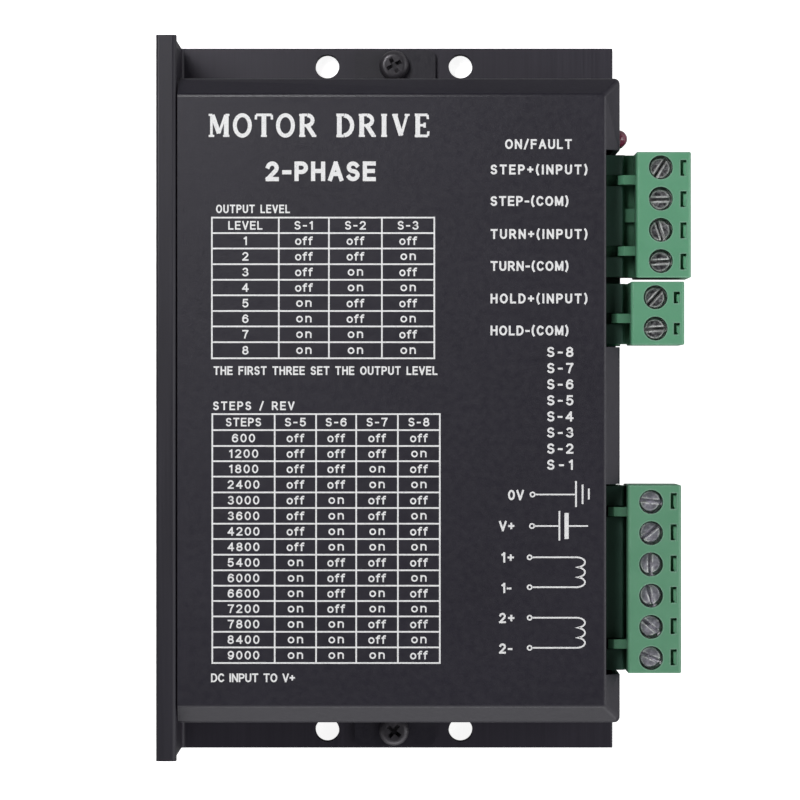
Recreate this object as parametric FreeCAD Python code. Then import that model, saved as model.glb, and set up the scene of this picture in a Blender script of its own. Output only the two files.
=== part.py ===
import FreeCAD, Part
import math
import os

# Stepper driver module: an L-shaped heatsink, a bent sheet cover, and a circuit board with
# pluggable terminals. Millimetres. The origin is the centre of the four mounting holes on
# the underside of the base; +X points to the terminal side, +Y to the status-lamp end,
# +Z up through the cover's printed face.

Vec = FreeCAD.Vector
os.makedirs("parts", exist_ok=True)

# ---------------------------------------------------------------- driving sizes
# heatsink: base plate with a leg standing along its -X edge
BASE_X0, BASE_X1 = -38.6, 36.9
BASE_T = 3.5
LENGTH = 118.0
HALF_LENGTH = LENGTH / 2
LEG_H = 34.0
LEG_X1 = BASE_X0 + 3.25     # thick bead along the leg's top
WALL_X1 = BASE_X0 + 2.75    # thinner wall below the bead
BEAD_H = 2.6
GROOVE_W, GROOVE_D, GROOVE_N, GROOVE_PITCH, GROOVE_Z0 = 1.8, 1.2, 8, 3.5, 4.75
MOUNT_DX, MOUNT_DY, MOUNT_R = 11.25, 56.0, 2.0
MOUNTS = [(sx * MOUNT_DX, sy * MOUNT_DY) for sx in (-1, 1) for sy in (-1, 1)]

# pan-head screws
SCREW_R = 1.5
SCREW_HOLE_R = 1.6      # clearance hole
SCREW_HEAD_R, SCREW_HEAD_H = 2.7, 2.0
COVER_HEAD_R = 2.5
TAP_Z0 = 0.7            # bottom of the blind holes in the base
SCREW_TIP_Z = 0.8       # ends of the screws and studs in those holes
COVER_SCREWS = ((0.0, MOUNT_DY), (0.0, -MOUNT_DY))
BOARD_SCREWS = ((22.0, 46.3), (22.0, -46.9), (-31.0, 46.6), (-31.0, -46.9))

# cover
SHEET = 1.0
COVER_SHIFT_Y = -0.4
COVER_X0, COVER_X1 = -35.15, 36.85
COVER_HALF_Y = 52.5
COVER_TOP = 33.5
CHAMFER_END, CHAMFER_SIDE = 2.8, 2.5
BEND_OUTER_R, BEND_INNER_R = 0.9, 0.4
TAB_X0, TAB_X1, TAB_REACH = -6.6, 7.0, 58.6
TAB_CORNER_R, TAB_BEND_R = 1.2, 0.6
WINDOW_X0, WINDOW_Z0 = 34.5, 16.5
WINDOWS = ((8.3, 40.4), (-45.0, -14.0))     # Y ranges, open to the terminals
DIP_WINDOW = (-12.6, 7.2, 20.4, 28.8)       # Y range, Z range
RELIEF_R_HIGH_Y, RELIEF_R_LOW_Y = 3.75, 3.35

# circuit board
PCB_Z0, PCB_T = 18.0, 1.6
PCB_TOP = PCB_Z0 + PCB_T
PCB_X0, PCB_X1, PCB_HALF_Y = -34.0, 34.8, 50.0
PCB_EDGE_X = 37.45      # where it reaches into the cover's windows

# headers, open to +X, with square pins bent down into the board
POLE_PITCH = 5.08
HEADER_X0, HEADER_X1 = 26.2, 37.6
HEADER_WALL, HEADER_BACK = 1.0, 2.4
HEADER_TOP = 28.0
PIN_Z, PIN_W = 23.8, 1.0
PIN_X0, PIN_X1 = HEADER_X0 + 0.7, 36.4

# plugs: X sizes are taken from each plug's inner face (towards -X)
BLOCK_D = 8.3
BLOCK_Z0, BLOCK_Z1 = 18.0, 33.0
NOSE_L, NOSE_Z0, NOSE_Z1 = 9.2, 20.75, 26.85
SHELF_Z = 25.8

# y: centre; face_x: inner face; back: how far the block reaches behind that face;
# ribs, low_ribs: offsets in Y; screw_x: screw axis from the face; well: X, Y offset of the
# well from the screw axis; slot_l: probe slot length; angles: screw slots in degrees
PLUGS = {
    "4way": dict(poles=4, y=29.80, face_x=40.05, back=0.60, ribs=(5.8, -5.8), low_ribs=(0.1,),
                 screw_x=3.3, well=(0.08, 0.10), slot_l=2.6, angles=(58, 0, 110, 3)),
    "2way": dict(poles=2, y=13.80, face_x=38.97, back=0.40, ribs=(-0.8,), low_ribs=(),
                 screw_x=3.5, well=(0.10, 0.06), slot_l=1.9, angles=(47, 3)),
    "6way": dict(poles=6, y=-29.45, face_x=38.45, back=0.40, ribs=(10.9, -10.7), low_ribs=(),
                 screw_x=3.3, well=(0.10, -0.14), slot_l=2.6,
                 angles=(-6, 38, 91, 108, 140, 157)),
}

# DIP switch
DIP_N, DIP_PITCH = 8, 2.54
DIP_Y, DIP_HALF_Y = -2.7, 10.9
DIP_X0, DIP_X1, DIP_Z0, DIP_Z1 = 29.3, 35.5, PCB_TOP, 29.4
DIP_SLOT_W, DIP_SLOT_Z0, DIP_SLOT_Z1 = 1.5, 22.4, 26.6
DIP_SLIDER_H = 2.2
DIP_LEGS_X = (DIP_X0 + 1.2, DIP_X0 + 1.2 + DIP_PITCH)

# status lamps: height, and X of the upright leads' -X face
LAMP_Y, LAMP_R = 42.4, 1.45
LAMPS = {"alarm": (27.6, 28.9), "power": (22.6, 30.6)}
LAMP_DOME_X = 36.75
LAMP_LEAD_DY, LAMP_LEAD_W = 1.27, 0.5

# bulk capacitors lying along Y, leads at their -Y end
CAP_R, CAP_L = 6.0, 25.0
CAPS_X, CAP_Y0 = (11.5, -2.5), -43.0
CAP_LEAD_DX, CAP_LEAD_BACK, CAP_LEAD_HALF = 2.5, 1.7, 0.3

# power transistors lying on a thermal pad
TR_N, TR_PITCH, TR_X0, TR_X1 = 8, 11.4, -27.3, -11.8
TR_HALF_W = 5.0
TR_HOLE_X = TR_X0 + 3.0
TR_TAB_T, TR_BODY_T = 2.6, 4.5
TR_LEAD_X0, TR_LEAD_X1, TR_LEAD_PITCH = TR_X1 + 3.1, TR_X1 + 3.6, 2.54
PAD_T = 0.5
TR_Z = BASE_T + PAD_T


# ---------------------------------------------------------------- helpers
def box(x0, x1, y0, y1, z0, z1):
    """Box between two limits on each axis, given in either order."""
    corner = Vec(min(x0, x1), min(y0, y1), min(z0, z1))
    return Part.makeBox(abs(x1 - x0), abs(y1 - y0), abs(z1 - z0), corner)


def cyl(x, y, z, radius, length, axis=(0, 0, 1)):
    return Part.makeCylinder(radius, length, Vec(x, y, z), Vec(*axis))


def prism(points, move):
    corners = [Vec(*p) for p in points]
    return Part.Face(Part.makePolygon(corners + [corners[0]])).extrude(Vec(*move))


def fuse(shapes):
    return shapes[0].fuse(list(shapes[1:])).removeSplitter()


def cut(shape, tools):
    return shape.cut(list(tools)).removeSplitter()


def fillet(shape, radius, keep):
    edges = [e for e in shape.Edges if keep(e)]
    return shape.makeFillet(radius, edges) if edges else shape


def chamfer(shape, size, keep):
    edges = [e for e in shape.Edges if keep(e)]
    return shape.makeChamfer(size, edges) if edges else shape


def near(a, b, tol=0.02):
    return abs(a - b) < tol


def at(edge, **places):
    """Whether the centre of an edge's bounding box is at the given x, y or z."""
    centre = edge.BoundBox.Center
    return all(near(getattr(centre, axis), value) for axis, value in places.items())


def along(edge, axis):
    """Whether a straight edge runs along an axis (0, 1 or 2)."""
    if len(edge.Vertexes) != 2:
        return False
    span = edge.Vertexes[0].Point - edge.Vertexes[1].Point
    if abs(span.Length - edge.Length) > 1e-4:
        return False
    return abs(abs((span.x, span.y, span.z)[axis]) - span.Length) < 1e-4


def circle_at(edge, z):
    """Whether an edge is a full circle at height z."""
    return at(edge, z=z) and len(edge.Vertexes) == 1


def row(centre, count, pitch):
    """Evenly spaced places about a centre; a negative pitch runs downwards."""
    return [centre + (i - (count - 1) / 2) * pitch for i in range(count)]


def rot_z(shape, angle, x, y):
    out = shape.copy()
    out.rotate(Vec(x, y, 0), Vec(0, 0, 1), angle)
    return out


def save(name, *shapes):
    solids = [solid for shape in shapes for solid in shape.Solids]
    out = solids[0] if len(solids) == 1 else Part.makeCompound(solids)
    out.exportStep("parts/" + name + ".step")


def pan_screw(x, y, seat_z, head_r, length, angle):
    """Cross-recess pan-head screw, head up, seated at seat_z."""
    top = seat_z + SCREW_HEAD_H
    tip = seat_z - length
    head = cyl(x, y, seat_z, head_r, SCREW_HEAD_H)
    head = fillet(head, SCREW_HEAD_H * 0.48, lambda e: circle_at(e, top))
    # the recess is two crossed wedges, narrowing downwards
    width, half_top, half_bottom = head_r * 0.26, head_r * 0.56, head_r * 1.12 * 0.22
    floor = top - SCREW_HEAD_H * 0.62
    side = y - width / 2
    wedge = prism([(x - half_top, side, top + 0.1), (x + half_top, side, top + 0.1),
                   (x + half_bottom, side, floor), (x - half_bottom, side, floor)],
                  (0, width, 0))
    recess = rot_z(fuse([rot_z(wedge, turn, x, y) for turn in (0, 90)]), angle, x, y)
    shank = cyl(x, y, tip, SCREW_R, length + 0.2)
    shank = chamfer(shank, SCREW_R * 0.3, lambda e: circle_at(e, tip))
    return cut(fuse([head, shank]), [recess])


TR_YS = row(0, TR_N, TR_PITCH)
DIP_YS = row(DIP_Y, DIP_N, DIP_PITCH)


def pole_ys(plug):
    """Y of each pole, from the +Y end."""
    return row(plug["y"], plug["poles"], -POLE_PITCH)


# ---------------------------------------------------------------- heatsink
def heatsink():
    bead_z = LEG_H - BEAD_H
    profile = [
        (BASE_X0, 0), (BASE_X1, 0), (BASE_X1, BASE_T), (WALL_X1, BASE_T),
        (WALL_X1, bead_z - (LEG_X1 - WALL_X1)), (LEG_X1, bead_z),
        (LEG_X1, LEG_H), (BASE_X0, LEG_H),
    ]
    body = prism([(x, -HALF_LENGTH, z) for x, z in profile], (0, LENGTH, 0))
    for radius, x, z in ((0.6, WALL_X1, BASE_T), (0.45, BASE_X0, LEG_H), (0.7, LEG_X1, LEG_H)):
        body = fillet(body, radius, lambda e: along(e, 1) and at(e, x=x, z=z))
    body = fillet(body, 0.3, lambda e: along(e, 1) and (at(e, x=BASE_X1) or at(e, x=BASE_X0, z=0)))
    # cooling grooves along the leg's outer face
    tools = []
    for i in range(GROOVE_N):
        z = GROOVE_Z0 + i * GROOVE_PITCH
        tools.append(box(BASE_X0 - 1, BASE_X0 + GROOVE_D, -HALF_LENGTH - 1, HALF_LENGTH + 1,
                         z - GROOVE_W / 2, z + GROOVE_W / 2))
    tools += [cyl(x, y, -1, MOUNT_R, BASE_T + 2) for x, y in MOUNTS]
    tapped = list(COVER_SCREWS) + [(TR_HOLE_X, y) for y in TR_YS] + list(BOARD_SCREWS)
    tools += [cyl(x, y, TAP_Z0, SCREW_R, BASE_T) for x, y in tapped]
    return cut(body, tools)


# ---------------------------------------------------------------- cover
def hood(inset, z0, x0):
    """Solid hood with 45 degree chamfers, its faces inset from the cover's outside."""
    # an inset hood has slightly smaller chamfers
    shrink = math.tan(math.radians(22.5)) * inset * 0.5
    end, side = CHAMFER_END - shrink, CHAMFER_SIDE - shrink
    half_y, top, x1 = COVER_HALF_Y - inset, COVER_TOP - inset, COVER_X1 - inset
    ends = prism([(x0, -half_y, z0), (x0, half_y, z0), (x0, half_y, top - end),
                  (x0, half_y - end, top), (x0, -half_y + end, top), (x0, -half_y, top - end)],
                 (x1 - x0, 0, 0))
    long_side = prism([(x0, -half_y, z0), (x1, -half_y, z0), (x1, -half_y, top - side),
                       (x1 - side, -half_y, top), (x0, -half_y, top)],
                      (0, 2 * half_y, 0))
    return ends.common(long_side).removeSplitter()


def round_bends(shape, radius):
    """Rounds every bend of the hood, but not the rims of its open bottom and -X side."""
    x_min, z_min = shape.BoundBox.XMin, shape.BoundBox.ZMin

    def is_bend(edge):
        bounds = edge.BoundBox
        on_bottom = at(edge, z=z_min) and bounds.ZLength < 0.01
        on_side = at(edge, x=x_min) and bounds.XLength < 0.01
        return not on_bottom and not on_side

    return fillet(shape, radius, is_bend)


def cover_openings():
    beyond = 40     # past the cover in X and Z
    wall_x = 35     # inside the +X wall
    tools = [box(WINDOW_X0, beyond, y0, y1, WINDOW_Z0, beyond) for y0, y1 in WINDOWS]
    dip_window = box(wall_x, wall_x + 3, *DIP_WINDOW)
    tools.append(fillet(dip_window, 0.6, lambda e: along(e, 0)))
    tools += [cyl(wall_x, LAMP_Y, z, LAMP_R + 0.15, 3, (1, 0, 0)) for z, _ in LAMPS.values()]
    tools += [cyl(x, y, BASE_T - 1, SCREW_HOLE_R, 3) for x, y in COVER_SCREWS]
    # relief for the mounting screws' heads
    for x, y in MOUNTS:
        radius = RELIEF_R_HIGH_Y if y > 0 else RELIEF_R_LOW_Y
        tools.append(cyl(x, y, BASE_T - 0.5, radius, 8.0))
    return tools


def cover():
    outer = round_bends(hood(0.0, BASE_T, COVER_X0), BEND_OUTER_R)
    inner = hood(SHEET, BASE_T - 5, COVER_X0 - 5)
    # guards the inner bends' fillet: if it fails, they stay sharp
    try:
        inner = round_bends(inner, BEND_INNER_R)
    except Exception:
        pass
    shell = outer.cut(inner)
    shell.translate(Vec(0, COVER_SHIFT_Y, 0))
    # a screw tab at each end
    top = BASE_T + SHEET
    walls = [side * COVER_HALF_Y + COVER_SHIFT_Y for side in (1, -1)]
    tabs = []
    for side, wall in zip((1, -1), walls):
        end = side * TAB_REACH
        tab = box(TAB_X0, TAB_X1, wall - side * SHEET, end, BASE_T, top)
        tabs.append(fillet(tab, TAB_CORNER_R, lambda e: along(e, 2) and at(e, y=end)))
    shell = fuse([shell] + tabs)

    def is_tab_bend(edge):
        return (along(edge, 0) and near(edge.Length, TAB_X1 - TAB_X0, 0.1)
                and any(at(edge, y=wall, z=top) for wall in walls))

    shell = fillet(shell, TAB_BEND_R, is_tab_bend)
    return cut(shell, cover_openings())


def cover_screws():
    seat = BASE_T + SHEET
    return [pan_screw(x, y, seat, COVER_HEAD_R, seat - SCREW_TIP_Z, angle)
            for (x, y), angle in zip(COVER_SCREWS, (28, 52))]


# ---------------------------------------------------------------- headers
def header_pins(plug):
    half = PIN_W / 2
    pins = []
    for y in pole_ys(plug):
        pin = fuse([
            box(PIN_X0, PIN_X1, y - half, y + half, PIN_Z - half, PIN_Z + half),
            box(PIN_X0, PIN_X0 + PIN_W, y - half, y + half, PCB_Z0 - 2.0, PIN_Z + half),
        ])
        pins.append(chamfer(pin, 0.25, lambda e: at(e, x=PIN_X1)))
    return pins


def header(plug, pins):
    yc = plug["y"]
    half = plug["poles"] * POLE_PITCH / 2 - 0.2
    roof = HEADER_TOP - HEADER_WALL
    shell = box(HEADER_X0, HEADER_X1, yc - half, yc + half, PCB_TOP, HEADER_TOP)
    shell = fillet(shell, 0.3, lambda e: along(e, 1) and at(e, z=HEADER_TOP))
    mouth = box(HEADER_X0 + HEADER_BACK, HEADER_X1 + 1, yc - half - 1, yc + half + 1,
                PCB_TOP + HEADER_WALL, roof)
    tools = [mouth] + pins
    # notches in the roof, in line with the plug's ribs
    for y in (yc + rib for rib in plug["ribs"]):
        tools.append(box(34.6, HEADER_X1 + 1, y - 0.95, y + 0.95, roof - 0.1, HEADER_TOP + 1))
    # lightening pockets between the poles, open at the back
    for y in row(yc, plug["poles"] - 1, -POLE_PITCH):
        tools.append(box(HEADER_X0 - 1, HEADER_X0 + 1.4, y - 1.2, y + 1.2,
                         PCB_TOP + 1.2, HEADER_TOP - 1.4))
    return cut(shell, tools)


# ---------------------------------------------------------------- DIP switch
def dip_body():
    body = box(DIP_X0, DIP_X1, DIP_Y - DIP_HALF_Y, DIP_Y + DIP_HALF_Y, DIP_Z0, DIP_Z1)
    body = fillet(body, 0.3, lambda e: at(e, x=DIP_X1))
    half = DIP_SLOT_W / 2
    body = cut(body, [box(DIP_X1 - 1.6, DIP_X1 + 1, y - half, y + half, DIP_SLOT_Z0, DIP_SLOT_Z1)
                      for y in DIP_YS])
    legs = [box(x - 0.25, x + 0.25, y - 0.25, y + 0.25, PCB_Z0 - 1.6, DIP_Z0 + 0.5)
            for y in DIP_YS for x in DIP_LEGS_X]
    return fuse([body] + legs)


def dip_slider(y):
    half = DIP_SLOT_W / 2 - 0.08
    nub_half = half - 0.12
    z0 = DIP_SLOT_Z0 + 0.1
    z1 = z0 + DIP_SLIDER_H
    nub_x1 = DIP_X1 + 0.8
    body = box(DIP_X1 - 1.5, DIP_X1 - 0.1, y - half, y + half, z0, z1)
    nub = box(DIP_X1 - 0.3, nub_x1, y - nub_half, y + nub_half, z0 + 0.35, z1 - 0.35)
    nub = fillet(nub, 0.25, lambda e: at(e, x=nub_x1))
    return fuse([body, nub])


# ---------------------------------------------------------------- parts on the board
def lamp(z, lead_x):
    """Round-ended lamp facing +X, with two leads bent down into the board."""
    parts = [
        cyl(33.4, LAMP_Y, z, LAMP_R, LAMP_DOME_X - 33.4, (1, 0, 0)),
        Part.makeSphere(LAMP_R, Vec(LAMP_DOME_X, LAMP_Y, z)),
        cyl(32.6, LAMP_Y, z, LAMP_R + 0.3, 0.9, (1, 0, 0)),
    ]
    half = LAMP_LEAD_W / 2
    leads = []
    for side in (1, -1):
        y = LAMP_Y + side * LAMP_LEAD_DY
        y_in = LAMP_Y + side * 0.9
        leads.append(box(lead_x, 32.8, y_in - side * half, y + side * half, z - half, z + half))
        leads.append(box(lead_x, lead_x + LAMP_LEAD_W, y - half, y + half,
                         PCB_Z0 - 1.5, z + half))
    return fuse([fuse(parts)] + leads)


def capacitor(x):
    z = PCB_TOP + CAP_R + 0.15
    end = CAP_Y0 + CAP_L
    can = cyl(x, CAP_Y0, z, CAP_R, CAP_L, (0, 1, 0))
    can = fillet(can, 0.8, lambda e: len(e.Vertexes) == 1)
    crimp = Part.makeTorus(CAP_R + 0.35, 0.8, Vec(x, CAP_Y0 + 3.2, z), Vec(0, 1, 0))
    # shallow cross in the +Y end
    cross = [box(x - dx, x + dx, end - 0.25, end + 1, z - dz, z + dz)
             for dx, dz in ((4, 0.15), (0.15, 4))]
    can = cut(can, [crimp] + cross)
    half = CAP_LEAD_HALF
    bend_y = CAP_Y0 - CAP_LEAD_BACK
    for side in (1, -1):
        lead_x = x + side * CAP_LEAD_DX
        can = fuse([
            can,
            box(lead_x - half, lead_x + half, bend_y - half, CAP_Y0 + 0.5, z - half, z + half),
            box(lead_x - half, lead_x + half, bend_y - half, bend_y + half,
                PCB_Z0 - 1.5, z + half),
        ])
    return can


def power_transistor(y):
    """Fully moulded transistor, its leads bent up to the board."""
    shapes = [
        box(TR_X0 + 6.2, TR_X1, y - TR_HALF_W, y + TR_HALF_W, TR_Z, TR_Z + TR_BODY_T),
        box(TR_X0, TR_X0 + 6.3, y - TR_HALF_W, y + TR_HALF_W, TR_Z, TR_Z + TR_TAB_T),
    ]
    z0, z1 = TR_Z + 2.4, TR_Z + 2.9
    for lead_y in row(y, 3, TR_LEAD_PITCH):
        y0, y1 = lead_y - 0.4, lead_y + 0.4
        shapes.append(box(TR_X1 - 0.5, TR_LEAD_X1, y0, y1, z0, z1))
        shapes.append(box(TR_LEAD_X0, TR_LEAD_X1, y0, y1, z0, PCB_TOP + 1.2))
    return cut(fuse(shapes), [cyl(TR_HOLE_X, y, TR_Z - 1, SCREW_HOLE_R, 6)])


def thermal_pad():
    pad = box(TR_X0 - 0.3, TR_X1 + 0.4, TR_YS[0] - 5.6, TR_YS[-1] + 5.6, BASE_T, TR_Z)
    return cut(pad, [cyl(TR_HOLE_X, y, BASE_T - 1, SCREW_HOLE_R, 3) for y in TR_YS])


def transistor_screws():
    seat = TR_Z + TR_TAB_T
    return [pan_screw(TR_HOLE_X, y, seat, SCREW_HEAD_R, seat - SCREW_TIP_Z, 17 * i)
            for i, y in enumerate(TR_YS)]


def chip(x, y, size_x, size_y, height, pitch, lead_w, y_side_leads=0, x_side_leads=0, reach=0.9):
    """Moulded chip with gull-wing leads on its +-Y sides, its +-X sides, or both."""
    z = PCB_TOP
    body = box(x - size_x / 2, x + size_x / 2, y - size_y / 2, y + size_y / 2, z + 0.1, z + height)
    body = chamfer(body, min(0.3, height * 0.2), lambda e: at(e, z=z + height))
    leads = []
    shoulder = z + height * 0.45
    lead_t = 0.15
    sides = ((y_side_leads, size_y / 2, True), (x_side_leads, size_x / 2, False))
    for count, half, on_y_side in sides:
        # outward range, then height range, of each lead's shoulder, riser and foot
        segments = (
            (half - 0.1, half + reach * 0.55, shoulder, shoulder + lead_t),
            (half + reach * 0.4, half + reach * 0.55, z, shoulder + lead_t),
            (half + reach * 0.4, half + reach, z, z + lead_t),
        )
        for centre in row(x if on_y_side else y, count, pitch):
            width = (centre - lead_w / 2, centre + lead_w / 2)
            for side in (1, -1):
                for out0, out1, z0, z1 in segments:
                    if on_y_side:
                        leads.append(box(*width, y + side * out0, y + side * out1, z0, z1))
                    else:
                        leads.append(box(x + side * out0, x + side * out1, *width, z0, z1))
    return fuse([body] + leads)


def sense_resistor(y):
    top = PCB_TOP + 0.7
    body = box(21.0, 24.2, y - 3.2, y + 3.2, PCB_TOP, top)
    return fillet(body, 0.15, lambda e: at(e, z=top))


def inductor():
    """Round drum with a recessed band round its middle."""
    x, y, height = -2.0, 38.0, 6.0
    core = cyl(x, y, PCB_TOP, 5.0, height)
    core = fillet(core, 0.5, lambda e: circle_at(e, PCB_TOP + height))
    band = cyl(x, y, PCB_TOP + 2.0, 6.0, 2.0).cut(cyl(x, y, PCB_TOP + 1.0, 3.9, 4.0))
    return cut(core, [band])


# ---------------------------------------------------------------- board, stand-offs, screws
def circuit_board():
    board = fuse(
        [box(PCB_X0, PCB_X1, -PCB_HALF_Y, PCB_HALF_Y, PCB_Z0, PCB_TOP)]
        + [box(PCB_X1 - 1, PCB_EDGE_X, y0 + 0.3, y1 - 0.3, PCB_Z0, PCB_TOP) for y0, y1 in WINDOWS]
    )
    # x, y, radius
    holes = [(x, y, SCREW_HOLE_R) for x, y in BOARD_SCREWS]
    holes += [(PIN_X0 + PIN_W / 2, y, 0.75) for plug in PLUGS.values() for y in pole_ys(plug)]
    holes += [(x, y, 0.45) for y in DIP_YS for x in DIP_LEGS_X]
    holes += [(lead_x + LAMP_LEAD_W / 2, LAMP_Y + side * LAMP_LEAD_DY, 0.45)
              for _, lead_x in LAMPS.values() for side in (1, -1)]
    holes += [(x + side * CAP_LEAD_DX, CAP_Y0 - CAP_LEAD_BACK, 0.5)
              for x in CAPS_X for side in (1, -1)]
    holes += [((TR_LEAD_X0 + TR_LEAD_X1) / 2, lead_y, 0.6)
              for y in TR_YS for lead_y in row(y, 3, TR_LEAD_PITCH)]
    return cut(board, [cyl(x, y, PCB_Z0 - 1, radius, 4) for x, y, radius in holes])


def standoff(x, y):
    """Hexagonal post with a stud below and a blind hole above."""
    corner_r = 3.0 / math.cos(math.radians(30))
    turns = [math.radians(60 * k) for k in range(6)]
    post = prism([(x + corner_r * math.cos(t), y + corner_r * math.sin(t), BASE_T) for t in turns],
                 (0, 0, PCB_Z0 - BASE_T))
    stud = cyl(x, y, SCREW_TIP_Z, SCREW_R, BASE_T)
    return cut(fuse([post, stud]), [cyl(x, y, PCB_Z0 - 6.0, SCREW_R, 7.0)])


def board_screws():
    return [pan_screw(x, y, PCB_TOP, SCREW_HEAD_R, 7.2, 20 + 31 * i)
            for i, (x, y) in enumerate(BOARD_SCREWS)]


# ---------------------------------------------------------------- plugs
NUT_Z0, NUT_Z1 = 25.5, 26.8
CAGE_Z0, CAGE_FLOOR = 21.7, 0.6
CAGE_HALF_Y, CAGE_WALL = 1.85, 0.5
CAGE_DX0, CAGE_DX1 = 1.5, 5.1
CONTACT_HALF = 1.1
BAR_Z0, BAR_Z1 = 24.6, 25.4
HEAD_R, HEAD_Z0, HEAD_H = 1.72, 29.8, 1.6
COLLAR_R, COLLAR_H = 2.12, 0.5
DRIVE_SLOT_W, DRIVE_SLOT_D = 0.62, 0.95
SHANK_R = 1.25
WELL_R = 1.95
PROBE_DX0, PROBE_DX1 = 6.55, 7.55
WIRE_Z, WIRE_HALF_Y, WIRE_HALF_Z = 23.45, 1.35, 1.1


def plug_shell(plug):
    """Plug housing before its poles are cut: block, nose and ribs."""
    yc, face = plug["y"], plug["face_x"]
    half = plug["poles"] * POLE_PITCH / 2 + 0.06
    block_x0 = face - plug["back"]
    block = box(block_x0, face + BLOCK_D, yc - half, yc + half, BLOCK_Z0, BLOCK_Z1)
    block = fillet(block, 0.5, lambda e: at(e, z=BLOCK_Z1) and along(e, 1))
    block = fillet(block, 0.2,
                   lambda e: near(e.BoundBox.Center.z, BLOCK_Z1, 0.3) and along(e, 0))
    nose = box(face - NOSE_L, face + 0.5, yc - half + 0.21, yc + half - 0.21, NOSE_Z0, NOSE_Z1)
    nose = chamfer(nose, 0.3, lambda e: at(e, x=face - NOSE_L) and along(e, 1))
    # the nose's top drops to a shelf between the header's mouth and the block
    nose = cut(nose, [box(HEADER_X1 + 0.25, block_x0, yc - half - 1, yc + half + 1,
                          SHELF_Z, NOSE_Z1 + 1)])
    shapes = [block, nose]
    root_z = SHELF_Z - 0.3
    for y in (yc + rib for rib in plug["low_ribs"]):
        shapes.append(box(HEADER_X1 - 0.5, block_x0 + 0.2, y - 1.1, y + 1.1, root_z, NOSE_Z1))
    rib_profile = ((-3.4, root_z), (0.4, root_z), (0.4, 30.1), (-2.5, 30.1), (-3.4, 29.0))
    for y in (yc + rib for rib in plug["ribs"]):
        shapes.append(prism([(face + dx, y - 0.75, z) for dx, z in rib_profile], (0, 1.5, 0)))
    return fuse(shapes)


def contact_blank(face, y):
    """Square sleeve, still solid, with a bar on into the clamp."""
    half = CONTACT_HALF
    sleeve = box(face - 8.7, face - 0.7, y - half, y + half, PIN_Z - half, PIN_Z + half)
    bar = box(face - 1.4, face + 5.6, y - half, y + half, BAR_Z0, BAR_Z1)
    return fuse([sleeve, bar])


def contact(face, y):
    bore = box(face - 9, face - 1.2, y - 0.56, y + 0.56, PIN_Z - 0.56, PIN_Z + 0.56)
    return cut(contact_blank(face, y), [bore])


def wire_outline(x, y, half_y, half_z):
    signs = ((-1, -1), (1, -1), (1, 1), (-1, 1), (-1, -1))
    return Part.makePolygon([Vec(x, y + a * half_y, WIRE_Z + b * half_z) for a, b in signs])


def pole_tools(plug, y):
    """Everything cut out of the housing for one pole."""
    face = plug["face_x"]
    screw_x = face + plug["screw_x"]
    well_dx, well_dy = plug["well"]
    outer = face + BLOCK_D
    cage_half = CAGE_HALF_Y + 0.1
    px0, px1 = face + PROBE_DX0, face + PROBE_DX1
    py0, py1 = y - plug["slot_l"] / 2, y + plug["slot_l"] / 2
    above, deep = BLOCK_Z1 + 1, BLOCK_Z1 - 1.8
    return [
        contact_blank(face, y),
        # way in for the pin
        box(face - NOSE_L - 1, face - 8.5, y - 0.75, y + 0.75, PIN_Z - 0.75, PIN_Z + 0.75),
        # chamber the clamp rises in
        box(face + CAGE_DX0 - 0.2, face + CAGE_DX1 + 0.2, y - cage_half, y + cage_half,
            CAGE_Z0 - 0.3, NUT_Z1 + 2.15),
        # screw: shank hole, a pocket that holds its collar down, and the well over its head
        cyl(screw_x, y, NUT_Z0, SHANK_R + 0.1, 6),
        cyl(screw_x, y, HEAD_Z0 - 0.05, COLLAR_R + 0.08, COLLAR_H + 0.1),
        cyl(screw_x + well_dx, y + well_dy, HEAD_Z0 + 0.3, WELL_R, 6),
        # wire entry: a funnel into a straight hole
        box(face + CAGE_DX1, outer + 1, y - WIRE_HALF_Y, y + WIRE_HALF_Y,
            WIRE_Z - WIRE_HALF_Z, WIRE_Z + WIRE_HALF_Z),
        Part.makeLoft([wire_outline(outer - 1.6, y, WIRE_HALF_Y, WIRE_HALF_Z),
                       wire_outline(outer + 0.05, y, 1.95, 1.85)], True),
        # probe slot: a shallow recess with a deep channel round three sides of a tongue
        box(px0, px1, py0, py1, BLOCK_Z1 - 0.9, above),
        box(px0, px0 + 0.5, py0, py1, deep, above),
        box(px0, px1, py1 - 0.4, py1, deep, above),
        box(px0, px1 - 0.3, py0, py0 + 0.3, deep, above),
    ]


def plug_housing(plug):
    tools = [tool for y in pole_ys(plug) for tool in pole_tools(plug, y)]
    return cut(plug_shell(plug), tools)


def terminal_screw(x, y, angle):
    """Slotted screw with a collar, turning in place."""
    top = HEAD_Z0 + HEAD_H
    head = cyl(x, y, HEAD_Z0, HEAD_R, HEAD_H)
    head = chamfer(head, 0.2, lambda e: circle_at(e, top))
    screw = fuse([head, cyl(x, y, HEAD_Z0, COLLAR_R, COLLAR_H),
                  cyl(x, y, NUT_Z0, SHANK_R, HEAD_Z0 - NUT_Z0 + 0.2)])
    half = DRIVE_SLOT_W / 2
    slot = box(x - 4, x + 4, y - half, y + half, top - DRIVE_SLOT_D, top + 1)
    return cut(screw, [rot_z(slot, angle, x, y)])


def wire_clamp(face, screw_x, y):
    """Rising clamp: nut plate, two sides and a floor."""
    x0, x1 = face + CAGE_DX0, face + CAGE_DX1
    inside = CAGE_HALF_Y - CAGE_WALL
    return cut(
        box(x0, x1, y - CAGE_HALF_Y, y + CAGE_HALF_Y, CAGE_Z0, NUT_Z1),
        [box(x0 - 1, x1 + 1, y - inside, y + inside, CAGE_Z0 + CAGE_FLOOR, NUT_Z0),
         cyl(screw_x, y, NUT_Z0 - 1, SHANK_R + 0.05, 5)],
    )


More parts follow.
